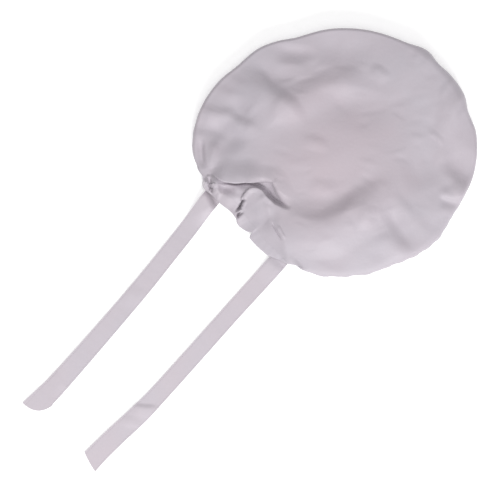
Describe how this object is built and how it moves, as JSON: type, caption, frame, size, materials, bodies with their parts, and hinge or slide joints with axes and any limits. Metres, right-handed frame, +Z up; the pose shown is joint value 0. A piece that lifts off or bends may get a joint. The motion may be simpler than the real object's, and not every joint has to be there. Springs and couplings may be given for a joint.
{
  "type": "sleep bonnet",
  "caption": "Baggy round satin bonnet for sleeping, gathered onto a narrow elastic band around its mouth, with ribbon ties, lying flat.",
  "frame": {"origin": "on the surface that the bonnet lies on, under the middle of its bounding box, ties included", "axes": "+Z up, out of the top of the crown; +Y from the ends of the ties to the back of the crown; +X across, to the right when the ties point to the viewer"},
  "size_m": [0.2876, 0.572, 0.0267],
  "materials": {
    "satin": "mauve-grey satin with a soft sheen",
    "satin_band": "the same satin, doubled and stitched around elastic",
    "ribbon": "pale lilac-grey satin ribbon"
  },
  "bodies": {
    "root": {"crown": "satin", "band": "satin_band", "tie_left": "ribbon", "tie_right": "ribbon"}
  },
  "joints": []
}
